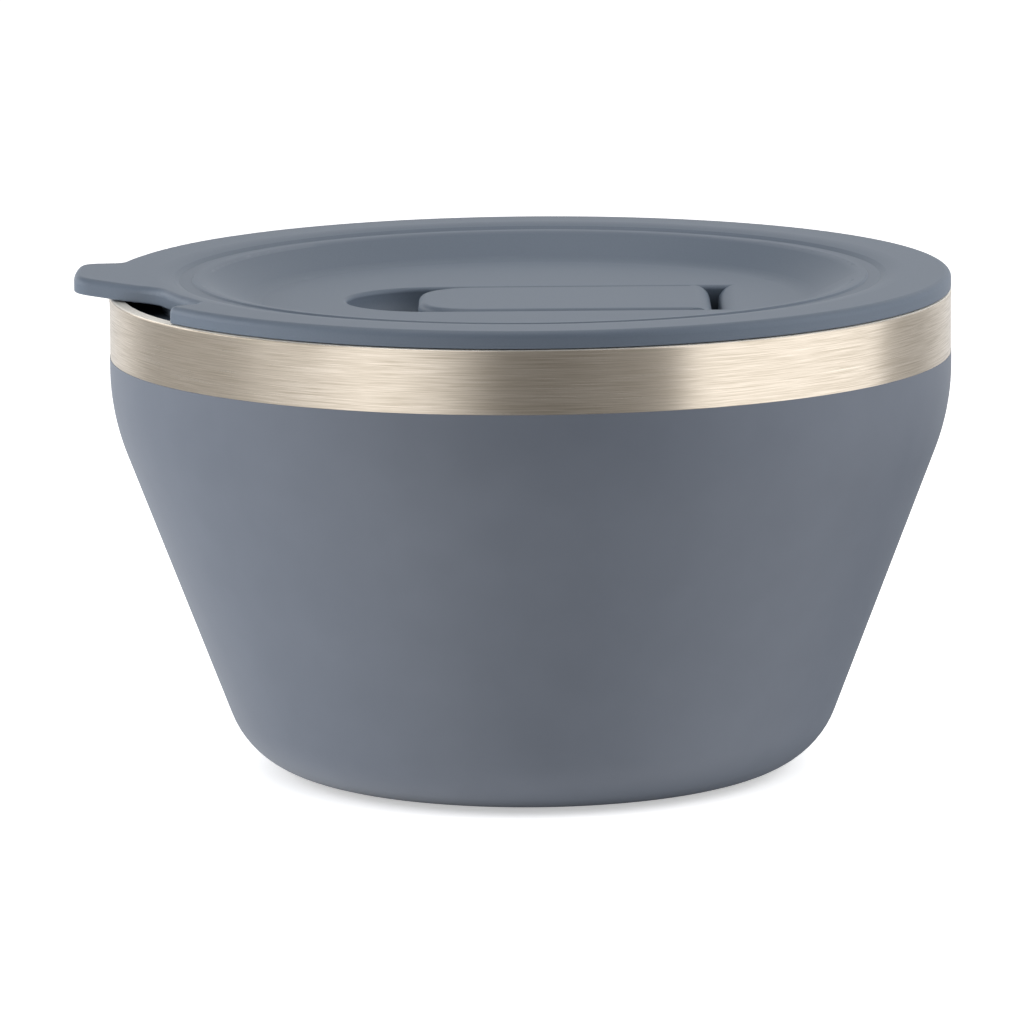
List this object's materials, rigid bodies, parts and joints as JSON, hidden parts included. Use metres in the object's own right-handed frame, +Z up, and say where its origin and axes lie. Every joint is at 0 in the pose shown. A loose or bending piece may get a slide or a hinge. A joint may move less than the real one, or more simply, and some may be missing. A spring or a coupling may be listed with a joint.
{
  "type": "insulated bowl",
  "caption": "Vacuum-insulated metal food bowl with a bare brushed rim band, coated flanks and a lift-off plug lid with a pull tab and a flip-up vent flap.",
  "frame": {"origin": "centre of the base, on the surface the bowl stands on", "axes": "+Z up, -X towards the lid's pull tab, +X towards the vent flap's hinge"},
  "size_m": [0.1561, 0.15, 0.0898],
  "materials": {
    "powder_coat": "matte powder coat",
    "steel": "brushed",
    "copper": "bright foil",
    "solder_glass": "fused",
    "getter": "sintered",
    "lid_plastic": "fine satin grain",
    "silicone": "matte"
  },
  "bodies": {
    "bowl": {"outer_shell": "powder_coat", "inner_liner": "steel", "copper_foil": "copper", "vacuum_bottom": "steel", "seal_bead": "solder_glass", "getter_pellet": "getter", "getter_clip": "steel", "base_cover": "powder_coat"},
    "lid": {"lid_body": "lid_plastic", "lid_gasket": "silicone", "flap_pin": "steel"},
    "flap": {"vent_flap": "lid_plastic", "vent_plug": "silicone"}
  },
  "joints": [
    {"name": "lid_lift", "type": "slide", "parent": "bowl", "child": "lid", "axis": [0, 0, 1], "range_m": [0, 0.1]},
    {"name": "flap_hinge", "type": "hinge", "parent": "lid", "child": "flap", "pos_m": [0.0294, 0, 0.08125], "axis": [0, 1, 0], "range_deg": [0, 110]}
  ]
}
